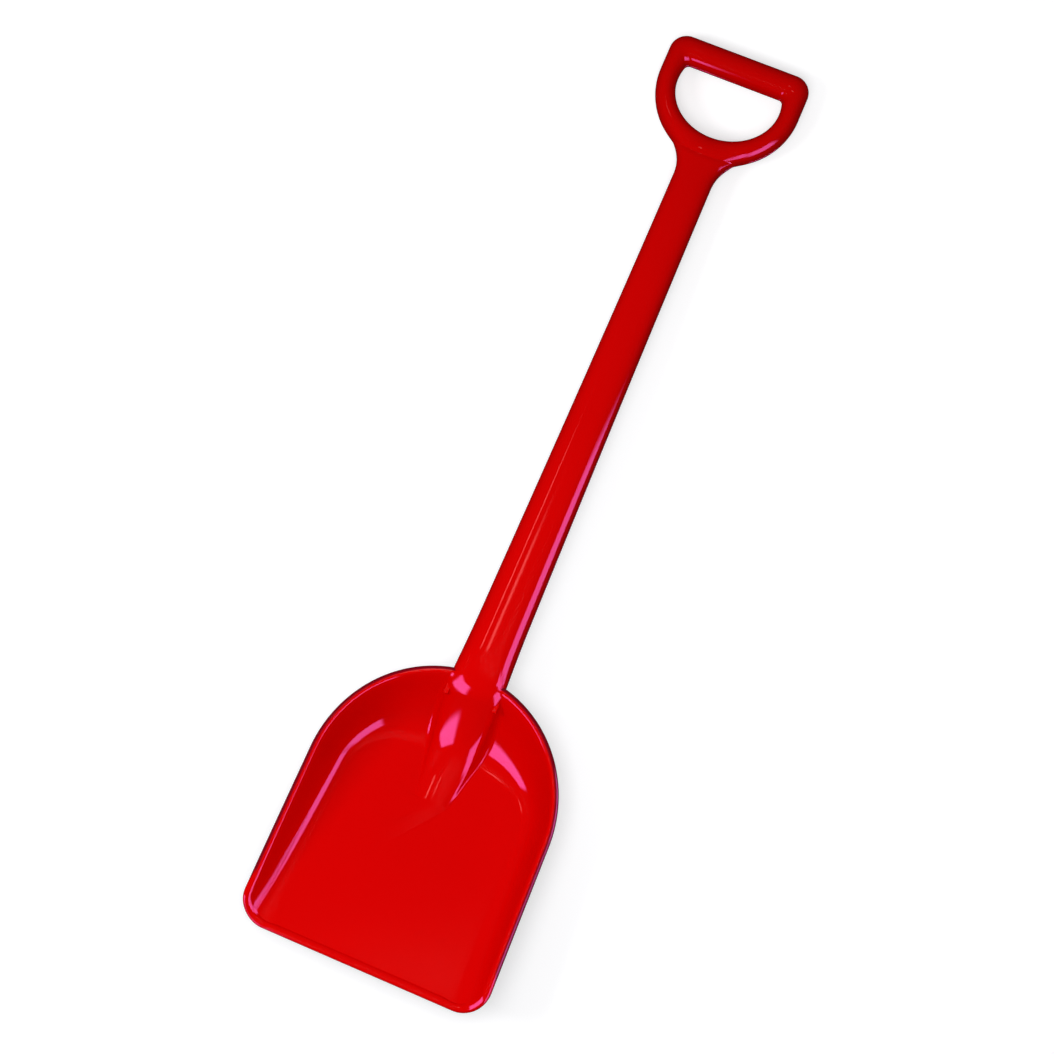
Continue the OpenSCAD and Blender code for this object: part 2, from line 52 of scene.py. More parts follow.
Tree = bpy.types.NodeTree
Socket = bpy.types.NodeSocket
Value = float | Triple | Vector | Socket
MM = 0.001
ROOT = "root"
# Point attribute with the share of painted shade that darkens the scoop's outer rim
RIM_SHADE = "painted_rim_shade"
# Sizes in millimetres that the scoop and the shaft share: the scoop's length, and how far
# its back wall runs in from the rim
BLADE_L = 168.4
RUN_BACK = 40.0
# A height in millimetres that lies below every surface
FAR_BELOW = -200.0
# Distances in metres within which points are one, and under which an edge has no length
WELD = 2e-7
NO_LENGTH = 1e-8
# Colours that the lamps' reflections have over the red, as linear light
PINK_GEL: Triple = (1.0, 0.19, 0.75)
WARM_GEL: Triple = (1.0, 0.29, 0.29)


# Small helpers


def linear(hex_colour: str) -> tuple[float, float, float, float]:
    """Turn an sRGB hex colour into linear RGBA.

    Args:
        hex_colour: six hex digits, such as "c80000".

    Returns:
        Linear red, green and blue with alpha 1.
    """
    srgb = np.array([int(hex_colour[i:i + 2], 16) for i in (0, 2, 4)]) / 255.0
    rgb = np.where(srgb <= 0.04045, srgb / 12.92, ((srgb + 0.055) / 1.055) ** 2.4)
    return (*rgb.tolist(), 1.0)


def mix(a: Array | float, b: Array | float, t: Array | float) -> Array:
    """Go from a to b by the share t: a + (b - a) t."""
    return a + (b - a) * t


def smooth_max(a: Array, b: Array, width: Array | float) -> Array:
    """Larger height, rounded: max(a, b) + width / 4 * max(0, 1 - |a - b| / width)^2."""
    near = np.maximum(0.0, 1.0 - np.abs(a - b) / width)
    return np.maximum(a, b) + width / 4.0 * near ** 2


def half_section(square: float | Array, angle: Array) -> tuple[Array, Array]:
    """Unit rounded section: |cos a|^(2/n) with cos's sign across, and (sin a)^(2/n) up."""
    c, s = np.cos(angle), np.maximum(np.sin(angle), 0.0)
    return np.sign(c) * np.abs(c) ** (2.0 / square), s ** (2.0 / square)


def add_node(tree: Tree, kind: str, inputs: dict | None = None,
             **settings) -> bpy.types.Node:
    """Add a node with its settings, socket values and links.

    Args:
        tree: the node tree.
        kind: the node's type, without the words Shader Node.
        inputs: socket name to value, or to the output socket to link from.
        settings: node attributes.

    Returns:
        The node.
    """
    node = tree.nodes.new("ShaderNode" + kind)
    for key, value in settings.items():
        setattr(node, key, value)
    for key, value in (inputs or {}).items():
        if isinstance(value, Socket):
            tree.links.new(value, node.inputs[key])
        else:
            node.inputs[key].default_value = value
    return node


def maths(tree: Tree, operation: str, *values: Value) -> Socket:
    """Add a Math node with values or sockets in the node's order, and give its result."""
    return add_node(tree, "Math", dict(enumerate(values)), operation=operation).outputs[0]


def vectors(tree: Tree, operation: str, *values: Value) -> bpy.types.Node:
    """Add a Vector Math node in the same way, and give the node."""
    return add_node(tree, "VectorMath", dict(enumerate(values)), operation=operation)


def soft_edge(tree: Tree, off: Socket, reach: float, soft: float) -> Socket:
    """Add the nodes of a soft edge: 1 in the middle, falling to 0 at the reach.

    Args:
        tree: the node tree.
        off: socket with the distance from the middle, either way.
        reach: distance at which nothing is left.
        soft: share of the reach over which it falls.

    Returns:
        The share's socket.
    """
    return add_node(tree, "MapRange",
                    {"Value": maths(tree, "ABSOLUTE", off), "From Min": reach * (1.0 - soft),
                     "From Max": reach, "To Min": 1.0, "To Max": 0.0},
                    interpolation_type="SMOOTHSTEP").outputs["Result"]


def noise(tree: Tree, size_mm: float, detail: float = 2.0) -> Socket:
    """Add noise of a real size in the object's own space, and give its strength, 0 to 1."""
    return add_node(tree, "TexNoise", {
        "Vector": add_node(tree, "TexCoord").outputs["Object"],
        "Scale": 1.0 / (size_mm * MM), "Detail": detail}).outputs["Fac"]


def empty_tree(owner: bpy.types.Material | bpy.types.World) -> Tree:
    """Turn on the nodes of a material or a world, and clear them.

    Args:
        owner: the material or world.

    Returns:
        Its node tree.
    """
    owner.use_nodes = True
    owner.node_tree.nodes.clear()
    return owner.node_tree


def linked(name: str, data: bpy.types.ID) -> bpy.types.Object:
    """Make an object of a mesh, a lamp or a camera, and link it to the scene.

    Args:
        name: its name.
        data: its data.

    Returns:
        The object.
    """
    made = bpy.data.objects.new(name, data)
    bpy.context.scene.collection.objects.link(made)
    return made


def flat_sheet(name: str, corners: list, material: bpy.types.Material) -> bpy.types.Object:
    """Make and link one flat object of four corners.

    Args:
        name: its name.
        corners: the four corners in order.
        material: its material.

    Returns:
        The object.
    """
    mesh = bpy.data.meshes.new(name)
    mesh.from_pydata(corners, [], [(0, 1, 2, 3)])
    mesh.materials.append(material)
    return linked(name, mesh)


# The shovel's sizes


@dataclass(frozen=True)
class Rest:
    """Resting place: the shovel lies on its heel and on the back of its grip."""

    tilt_deg: float = 3.33242
    lift: float = 41.2025
    middle: float = 274.192

    def matrix(self) -> Matrix:
        """Placement matrix in millimetres: turn about x by minus the tilt, then shift."""
        shift = Matrix.Translation((0.0, -self.middle, self.lift))
        return shift @ Matrix.Rotation(np.radians(-self.tilt_deg), 4, "X")

    def place(self, points: Array) -> Array:
        """Move points from the shovel's plane to the ground, in metres.

        y' = y cos t + z sin t - middle, z' = z cos t - y sin t + lift; nothing goes
        below the ground, which leaves the flats under the heel and the grip.

        Args:
            points: (n, 3) millimetres.

        Returns:
            (n, 3) metres.
        """
        c, s = np.cos(np.radians(self.tilt_deg)), np.sin(np.radians(self.tilt_deg))
        out = np.empty_like(points)
        out[:, 0] = points[:, 0]
        out[:, 1] = points[:, 1] * c + points[:, 2] * s - self.middle
        out[:, 2] = np.maximum(points[:, 2] * c - points[:, 1] * s + self.lift, 0.0)
        return out * MM


@dataclass(frozen=True)
class ShaftSizes:
    """Shaft, frog and yoke, in millimetres."""

    blade_l: float = BLADE_L
    w_root: float = 30.6
    w_low: float = 29.3
    w_top: float = 22.8
    root_fade: float = 34.0
    crown_z: float = 6.0
    seam_root: float = 5.0
    seam_top: float = 2.0
    back_root: float = 7.5
    back_top: float = 8.0
    ease: float = 1.5
    square: float = 2.7
    flare_square: float = 3.2
    root_l: float = 8.0
    flare_r: float = 24.0
    flare_y: float = 470.534
    flare_end_y: float = 490.765
    cover_split: float = 4.0
    seam_gap: float = 0.1
    edge_r: float = 0.25
    frog_top_y: float = 181.0
    frog_r: float = 45.0
    frog_crest_y: float = 161.0
    frog_crest_r: float = 12.0
    frog_slope_deg: float = 45.0
    frog_foot_r: float = 50.0
    frog_run_out: float = 0.1
    frog_edge_rise: float = 8.0
    frog_square: float = 2.0
    frog_narrow: float = 0.12
    frog_narrow_to: float = 2.0
    frog_wall: float = 3.3
    wall: float = 2.4
    hollow_start: float = 120.0
    run_back: float = RUN_BACK
    toe_y: float = 88.0

    @property
    def root_y(self) -> float:
        """Where the closed root ends and the shaft's cover begins."""
        return self.blade_l + self.root_l

    @property
    def split_y(self) -> float:
        """Where the shaft's cover meets the handle's cover."""
        return self.flare_y + self.cover_split

    def along(self, y: Array) -> Array:
        """Share of the way from the scoop to the D, held between 0 and 1."""
        return np.clip((y - self.blade_l) / (self.flare_y - self.blade_l), 0.0, 1.0)

    def half(self, y: Array) -> Array:
        """Half width: a tapering shaft, a flared root, and the hollow flare of the yoke.

        Args:
            y: places along the shovel.

        Returns:
            Half widths.
        """
        taper = mix(self.w_top, self.w_low, (1.0 - self.along(y)) ** self.ease) / 2.0
        fade = np.clip(1.0 - (y - self.blade_l) / self.root_fade, 0.0, 1.0)
        root = (self.w_root - self.w_low) / 2.0 * fade ** 2
        past = np.clip(y - self.flare_y, 0.0, self.flare_r)
        flare = self.flare_r - np.sqrt(self.flare_r ** 2 - past ** 2)
        return taper + root + flare

    def seam_z(self, y: Array) -> Array:
        """Height of the seam, which climbs from the scoop to the D."""
        return -mix(self.seam_root, self.seam_top, self.along(y))

    def drop(self, y: Array) -> Array:
        """Depth of the back under the seam."""
        return mix(self.back_root, self.back_top, self.along(y))

    def squareness(self, y: Array) -> Array:
        """Squareness of the section, which grows through the yoke."""
        return mix(self.square, self.flare_square,
                   np.clip((y - self.flare_y) / self.flare_r, 0.0, 1.0))

    @property
    def slopes(self) -> tuple[float, float]:
        """Slopes where the crest starts and where the frog is steepest."""
        return ((self.frog_top_y - self.frog_crest_y) / self.frog_r,
                np.tan(np.radians(self.frog_slope_deg)))

    @property
    def steep_y(self) -> float:
        """Where the crest ends and the frog is steepest."""
        first, steep = self.slopes
        return self.frog_crest_y - (steep - first) * self.frog_crest_r

    def frog_drop(self, y: Array) -> Array:
        """How far the crown has come down: a gentle bend, a crest and a hollow run-out.

        Each stretch is an arc, as slope d + d^2 / 2r over the length d that lies in it.

        Args:
            y: places along the shovel.

        Returns:
            Drops in millimetres.
        """
        first, steep = self.slopes
        out_y = self.steep_y - (steep - self.frog_run_out) * self.frog_foot_r
        drop = np.zeros_like(y, dtype=float)
        for start, end, slope, radius in (
                (self.frog_top_y, self.frog_crest_y, 0.0, self.frog_r),
                (self.frog_crest_y, self.steep_y, first, self.frog_crest_r),
                (self.steep_y, out_y, steep, -self.frog_foot_r)):
            d = np.maximum(0.0, start - np.maximum(y, end))
            drop += d * slope + d * d / 2.0 / radius
        return drop + np.maximum(0.0, out_y - y) * self.frog_run_out

    def crown_square(self, y: Array) -> Array:
        """Squareness of the crown, from the frog's own under the crest to the shaft's."""
        share = np.clip((y - self.steep_y) / (self.blade_l - self.steep_y), 0.0, 1.0)
        return mix(self.frog_square, self.square, share)

    def frog_half(self, y: Array) -> Array:
        """Half width of the frog, which narrows to its toe."""
        reach = np.clip((self.blade_l - y) / self.run_back, 0.0, self.frog_narrow_to)
        return self.half(y) * (1.0 - self.frog_narrow * reach ** 2)

    def crown(self, x: Array, y: Array) -> Array:
        """Height of the frog and of the shaft's front over a place in plan.

        edge + rise (1 - |x / half|^n)^(1/n), carried on as a straight fall past the
        edge so that it can be blended. The section goes from the shaft's squareness
        at the rim to the frog's own under the crest.

        Args:
            x: places across.
            y: places along.

        Returns:
            Heights.
        """
        edge, rise = self.frog_edge(y)
        fall = side_fall(np.abs(x) / self.frog_half(y), self.crown_square(y))
        return np.where(y > self.toe_y, edge + rise * fall, FAR_BELOW)

    def frog_edge(self, y: Array) -> tuple[Array, Array]:
        """Height of the frog's edges, which drop less than its crown does, and the rise.

        Args:
            y: places along the shovel.

        Returns:
            Heights of the edges, and of the crown over them.
        """
        drop = self.frog_drop(y)
        edge_drop = np.maximum(0.0, drop - (self.crown_z + self.seam_root) + self.frog_edge_rise)
        edge_drop = np.where(y > self.blade_l, 0.0, edge_drop)
        return self.seam_z(y) - edge_drop, self.crown_z - self.seam_z(y) - drop + edge_drop

    def hollow(self, x: Array, y: Array) -> Array:
        """Ceiling of the hollow behind the frog, far below everything outside it.

        Args:
            x: places across.
            y: places along.

        Returns:
            Heights.
        """
        half = self.frog_half(y) - self.wall
        edge, rise = self.frog_edge(y)
        height = edge - self.frog_wall + rise * side_fall(np.abs(x) / half, self.crown_square(y))
        open_below = (y > self.hollow_start) & (np.abs(x) < half)
        return np.where(open_below, height, FAR_BELOW)


def side_fall(u: Array, n: float, turn: float = 0.985) -> Array:
    """(1 - u^n)^(1/n) up to the turn, then straight on at the turn's slope.

    Args:
        u: distance from the middle as a share of the half width.
        n: squareness.
        turn: share at which the straight fall starts.

    Returns:
        Height factors, negative well past the edge.
    """
    inner = np.minimum(u, turn)
    base = (1.0 - inner ** n) ** (1.0 / n)
    slope = -turn ** (n - 1.0) * (1.0 - turn ** n) ** (1.0 / n - 1.0)
    return base + np.maximum(u - turn, 0.0) * slope


@dataclass(frozen=True)
class ScoopSizes:
    """Scoop, in millimetres."""

    w: float = 142.0
    back_w: float = 138.8
    length: float = BLADE_L
    arch_l: float = 72.0
    corner_r: float = 16.0
    lip_depth: float = 8.0
    heel_depth: float = 30.0
    heel_y: float = 118.0
    rim_dip: float = 2.0
    rim_dip_l: float = 70.0
    wall: float = 2.5
    bead_w: float = 4.0
    bead_h: float = 3.8
    bead_r: float = 1.8
    bead_in: float = 1.0
    edge_lip: float = 1.0
    front_band: float = 8.0
    run_side: float = 16.0
    run_back: float = RUN_BACK
    foot_side: float = 0.36
    foot_back: float = 0.7
    top_pull: float = 0.75
    foot_pull: float = 0.75
    aim_x: float = 22.0
    aim_y: float = 50.0
    gate_x: float = 19.0
    fully_trimmed: float = 0.98
    # Rounding between the frog and the scoop: at the rim, per depth, and at most
    frog_round: Triple = (2.4, 0.9, 13.0)
    # Where the painted rim shade stops beside the shaft: |x| + lean (y - place) under the limit
    rim_shade_stop: Triple = (0.4, 160.0, 15.5)
    # Painted rim shade on the last row of the bead's top, part of the full shade on the outer
    # bead
    rim_shade_top_share: float = 0.7

    @property
    def arch_y(self) -> float:
        """Where the straight sides meet the round back."""
        return self.length - self.arch_l

    def rim_z(self, y: Array) -> Array:
        """Height of the rim, which dips towards the digging edge."""
        return -self.rim_dip * np.maximum(0.0, 1.0 - y / self.rim_dip_l) ** 2

    def floor_z(self, y: Array) -> Array:
        """Height of the flat floor, a plane that falls towards the heel."""
        return -self.lip_depth - (self.heel_depth - self.lip_depth) * y / self.heel_y


@dataclass(frozen=True)
class HandleSizes:
    """D handle, in millimetres."""

    total_l: float = 550.0
    w: float = 83.6
    corner_r: float = 10.0
    hand_w: float = 60.8
    hand_drop: float = 27.2
    hand_rise: float = 9.0
    hand_corner_r: float = 3.0
    grip_d: float = 16.0
    square: float = 2.1
    round_up: float = 1.0

    @property
    def hand_y(self) -> float:
        """Height along the shovel of the hand opening's widest place."""
        return self.total_l - self.grip_d - self.hand_rise

    def opening_share(self, across: Array, along: Array) -> Array:
        """How far a place, seen from the opening's middle, lies towards its ellipse."""
        return np.hypot(across / (self.hand_w / 2.0), along / self.hand_drop)

    def outer_reach(self, sine: Array) -> Array:
        """Distance to the outer round along a ray: c + sqrt(r^2 - up^2 + c^2), c = up sin."""
        c = self.round_up * sine
        return c + np.sqrt((self.w / 2.0) ** 2 - self.round_up ** 2 + c * c)


# Meshes


@dataclass
class Shell:
    """Points and faces of one closed shell, in millimetres."""

    points: Array
    quads: Array
    caps: list[list[int]] = field(default_factory=list)
    # Share of painted shade at each point, which darkens the scoop's outer rim
    rim_shade: Array | None = None


def grid_quads(rows: int, cols: int, close_rows: bool = False) -> Array:
    """Faces of a grid that runs round in its columns.

    Args:
        rows: number of rows.
        cols: number of points in a row.
        close_rows: whether the last row joins the first.

    Returns:
        (n, 4) indices.
    """
    r = np.arange(rows if close_rows else rows - 1)[:, None]
    c = np.arange(cols)[None, :]
    nr, nc = (r + 1) % rows, (c + 1) % cols
    faces = np.stack([r * cols + c, r * cols + nc, nr * cols + nc, nr * cols + c], axis=-1)
    return faces.reshape(-1, 4)


def with_mirror(half: Array) -> Array:
    """Carry a right half on by its mirror image, less the two ends on the middle line."""
    back = half[-2:0:-1]
    return np.concatenate([half, back * np.array([-1.0, 1.0]) if half.ndim > 1 else back])


def end_caps(rows: int, cols: int) -> list[list[int]]:
    """Faces that close the first and the last row of a grid."""
    last = (rows - 1) * cols
    return [list(range(cols)), list(range(last, last + cols))[::-1]]


def build_piece(name: str, shells: list[Shell], rest: Rest,
                sharp_deg: float = 38.0) -> bpy.types.Object:
    """Make one object of closed shells, with outward faces and shared seams.

    Args:
        name: the piece's name.
        shells: its shells.
        rest: the resting place.
        sharp_deg: angle over which an edge stays sharp.

    Returns:
        The linked object.
    """
    mesh = bpy.data.meshes.new(name)
    points = np.concatenate([s.points for s in shells])
    faces: list[list[int]] = []
    base = 0
    for shell in shells:
        faces += (shell.quads + base).tolist()
        faces += [[i + base for i in cap] for cap in shell.caps]
        base += len(shell.points)
    mesh.from_pydata(rest.place(points).tolist(), [], faces)
    # Painted shade for the scoop's outer rim goes on as a point attribute
    rim_shade = [np.zeros(len(s.points)) if s.rim_shade is None else s.rim_shade for s in shells]
    mesh.attributes.new(RIM_SHADE, "FLOAT", "POINT").data.foreach_set(
        "value", np.concatenate(rim_shade).astype(np.float32))
    work = bmesh.new()
    work.from_mesh(mesh)
    bmesh.ops.remove_doubles(work, verts=work.verts, dist=WELD)
    bmesh.ops.dissolve_degenerate(work, edges=work.edges, dist=NO_LENGTH)
    bmesh.ops.recalc_face_normals(work, faces=work.faces)
    work.to_mesh(mesh)
    work.free()
    mesh.shade_smooth()
    mesh.set_sharp_from_angle(angle=np.radians(sharp_deg))
    return linked(name, mesh)


class Side(Enum):
    """Half of the hollow handle: the front over the seam, or the back under it."""

    FRONT = 1
    BACK = -1


@dataclass
class Scoop:
    """Deep scoop with a rolled rim, and the frog that runs down its back wall."""

    sizes: ScoopSizes
    shaft: ShaftSizes
    wall_rows: int = 64
    floor_rows: int = 26
    # Points along the round back, as stretches from, to and step, in x: finest where the
    # edge of the shaft crosses the rim
    gate: tuple[Triple, ...] = ((0.0, 11.0, 0.8), (11.0, 17.0, 0.25), (17.0, 22.0, 0.7))
    # Place on the wall's curve where the bend into the bead takes over
    bend_from: float = 0.1
    # How far the underside stays below the bead
    clear: float = 0.002

    def outline(self) -> tuple[Array, Array, Array, Array]:
        """Rim outline, from the middle of the back round the right side and home.

        Ellipse quarter, straight side, corner arc and straight digging edge; the left
        half mirrors the right one.

        Returns:
            Points, inward normals, the rays' aims, and the facing angle in radians.
        """
        s = self.sizes
        hx = s.back_w / 2.0
        gate = np.concatenate([np.arange(*stretch) for stretch in self.gate])
        rest = np.linspace(np.arccos(self.gate[-1][1] / hx), 0.0, 40, endpoint=False)
        a = np.concatenate([np.arccos(gate / hx), rest])
        arch = np.stack([hx * np.cos(a), s.arch_y + s.arch_l * np.sin(a)], 1)
        arch_n = -np.stack([s.arch_l * np.cos(a), hx * np.sin(a)], 1)
        arch_n /= np.linalg.norm(arch_n, axis=1, keepdims=True)
        past = np.maximum(arch[:, 0] - s.gate_x, 0.0) / (hx - s.gate_x)
        arch_aim = np.stack([np.minimum(arch[:, 0], s.gate_x) + (s.aim_x - s.gate_x) * past,
                             np.full(len(a), s.arch_y)], 1)
        t = np.linspace(0.0, 1.0, 22, endpoint=False)
        side = np.stack([mix(s.back_w, s.w, t) / 2.0, mix(s.arch_y, s.corner_r, t)], 1)
        side_n = np.tile([-1.0, 0.0], (len(t), 1))
        side_aim = np.stack([np.full(len(t), s.aim_x), mix(s.arch_y, s.aim_y, t)], 1)
        b = np.linspace(0.0, -np.pi / 2.0, 18, endpoint=False)
        cx = s.w / 2.0 - s.corner_r
        corner = np.stack([cx + s.corner_r * np.cos(b), s.corner_r * (1.0 + np.sin(b))], 1)
        corner_n = -np.stack([np.cos(b), np.sin(b)], 1)
        corner_aim = np.tile([s.aim_x, s.aim_y], (len(b), 1))
        u = np.linspace(0.0, 1.0, 15)
        front = np.stack([cx * (1.0 - u), np.zeros(len(u))], 1)
        front_n = np.tile([0.0, 1.0], (len(u), 1))
        front_aim = np.stack([s.aim_x * (1.0 - u), np.full(len(u), s.aim_y)], 1)
        parts = ((arch, arch_n, arch_aim, a), (side, side_n, side_aim, np.zeros(len(t))),
                 (corner, corner_n, corner_aim, b),
                 (front, front_n, front_aim, np.full(len(u), -np.pi / 2.0)))
        return tuple(with_mirror(np.concatenate(column)) for column in zip(*parts))

    def wall_curve(self, t: Array, foot: Array | float) -> tuple[Array, Array]:
        """Wall profile, a cubic curve from the bead to the floor.

        Args:
            t: place on the curve, 0 at the bead to 1 on the floor.
            foot: place of the wall's foot across the run.

        Returns:
            Shares of the run and of the drop.
        """
        s, q = self.sizes, 1.0 - t
        x1, x2 = s.top_pull * foot, 1.0 - s.foot_pull * (1.0 - foot)
        return (3 * q * q * t * x1 + 3 * q * t * t * x2 + t ** 3,
                3 * q * q * t * s.top_pull + 3 * q * t * t + t ** 3)

    def rows(self) -> tuple[Array, Array, Array]:
        """Upper surface as rows of rays, from the floor's middle out to the rim's side.

        The wall is a cubic curve from the bead to the floor; the floor is a plane; the
        bead has a round inner edge and a round outer edge. The side walls run straight
        out to the digging edge, where the corners trim them, so a ray from there starts
        part of the way down the wall's curve, and the bead comes down to the floor.

        Returns:
            The upper rows without the frog, the outer bead rows, and each ray's share
            of the wall that the corner has trimmed away.
        """
        s = self.sizes
        p, n, aim, ang = self.outline()
        gap = aim - p
        full = np.linalg.norm(gap, axis=1)
        ray = gap / full[:, None]
        lean = np.sum(ray * n, axis=1)
        back = np.sin(np.maximum(ang, 0.0)) ** 2
        run, foot = mix(s.run_side, s.run_back, back), mix(s.foot_side, s.foot_back, back)
        curve_t = np.linspace(0.0, 1.0, 2001)
        inner_x = np.abs(p[:, 0] + ray[:, 0] * s.bead_w / lean)
        share = np.clip((s.w / 2.0 - inner_x - s.bead_w) / s.run_side, 0.0, 1.0)
        start = np.interp(share, self.wall_curve(curve_t, s.foot_side)[0], curve_t)
        start = np.where(ang < -1e-9, start, 0.0)
        trimmed = self.wall_curve(start, s.foot_side)[1]
        at_front = start > s.fully_trimmed

        def at(inset: Array) -> Array:
            """Places on the rays a given distance in from the rim."""
            return p[None] + ray[None] * (inset / lean)[..., None]

        def bead_z(plan: Array) -> Array:
            """Height of the bead: the rim's, down to a low lip at the digging edge."""
            y = plan[..., 1]
            return mix(s.rim_z(y), s.floor_z(y) + s.edge_lip, trimmed)

        def lifted(plan: Array, z: Array) -> Array:
            """Join plan places and heights."""
            return np.concatenate([plan, z[..., None]], axis=-1)

        t = np.linspace(1.0, self.bend_from, self.wall_rows)[:, None]
        c0, c1 = self.wall_curve(mix(start, 1.0, t), foot)
        past = np.abs(p[:, 0]) - s.w / 2.0 + s.bead_w + s.run_side * c0
        reach = np.where(at_front, (s.bead_w + s.front_band * t) / lean,
                         np.where(ang < -1e-9, past / np.maximum(np.abs(ray[:, 0]), 1e-6),
                                  (s.bead_w + run * c0) / lean))
        plan = p[None] + ray[None] * reach[..., None]
        level = s.floor_z(plan[..., 1])
        wall = lifted(plan, np.where(at_front, level, mix(s.rim_z(plan[..., 1]), level, c1)))
        out = np.linspace(0.0, 1.0, self.floor_rows, endpoint=False)[:, None]
        plan = p[None] + ray[None] * mix(full, reach[:1], out)[..., None]
        floor = lifted(plan, s.floor_z(plan[..., 1]))
        edge_in, edge = at(np.full((1, 1), s.bead_w - s.bead_in)), at(np.full((1, 1), s.bead_w))
        a0, a1 = lifted(edge_in, bead_z(edge_in)), lifted(edge, bead_z(edge))
        k = np.linspace(0.0, 1.0, 9)[1:, None, None]
        bend = (1 - k) ** 2 * wall[-1:] + 2 * k * (1 - k) * a1 + k * k * a0
        top = at(np.array([[(s.bead_w - s.bead_in + s.bead_r) / 2.0], [s.bead_r]]))
        top = lifted(top, bead_z(top))
        r = np.radians(np.linspace(90.0, 0.0, 9))[1:, None]
        side = at(s.bead_r * (1 - np.cos(r)))
        side = lifted(side, bead_z(side) - s.bead_r * (1 - np.sin(r)))
        low = np.radians(np.linspace(0.0, 90.0, 6))[:, None]
        under = at(s.bead_in * (1 - np.cos(low)))
        under = lifted(under, bead_z(under) - (s.bead_h - s.bead_in) - s.bead_in * np.sin(low))
        upper = np.concatenate([floor, wall, bend, top])
        return upper, np.concatenate([side, under]), trimmed

    def behind(self, upper: Array, trimmed: Array) -> Array:
        """Outer surface: one wall thickness behind the inner one, along its normal.

        Args:
            upper: the upper rows without the frog.
            trimmed: each ray's share of the wall that the corner has trimmed away.

        Returns:
            Rows of the underside, in the same order.
        """
        s = self.sizes
        across = np.roll(upper, -1, axis=1) - np.roll(upper, 1, axis=1)
        down = np.gradient(upper, axis=0)
        normal = np.cross(across, down)
        normal *= np.sign(normal[..., 2:3])
        normal /= np.maximum(np.linalg.norm(normal, axis=-1, keepdims=True), 1e-9)
        out = upper - normal * s.wall
        y = upper[..., 1]
        limit = mix(s.rim_z(y), s.floor_z(y) + s.edge_lip, trimmed) - s.bead_h
        out[..., 2] = np.minimum(out[..., 2], limit - self.clear)
        return out

    def shell(self) -> Shell:
        """Closed shell of the scoop with its frog.

        Returns:
            The shell.
        """
        upper, bead, trimmed = self.rows()
        last = len(upper) - 4
        under = self.behind(upper[:last], trimmed)[::-1]
        under[..., 2] = np.maximum(under[..., 2], self.shaft.hollow(under[..., 0], under[..., 1]))
        x, y, z = upper[..., 0], upper[..., 1], upper[..., 2]
        least, growth, most = self.sizes.frog_round
        rounding = np.clip(least + growth * np.maximum(-z, 0.0), least, most)
        upper = upper.copy()
        upper[..., 2] = smooth_max(z, self.shaft.crown(x, y), rounding)
        rings = np.concatenate([upper, bead, under])
        rows, cols = rings.shape[:2]
        # Painted shade: the outer bead is darkened fully and the last row of its top in part,
        # except beside the shaft
        rim_shade = np.zeros((rows, cols))
        rim_shade[len(upper) - 1] = self.sizes.rim_shade_top_share
        rim_shade[len(upper):len(upper) + len(bead)] = 1.0
        lean, place, limit = self.sizes.rim_shade_stop
        rim_shade[np.abs(rings[..., 0]) + lean * (rings[..., 1] - place) < limit] = 0.0
        return Shell(rings.reshape(-1, 3), grid_quads(rows, cols), end_caps(rows, cols),
                     rim_shade.reshape(-1))


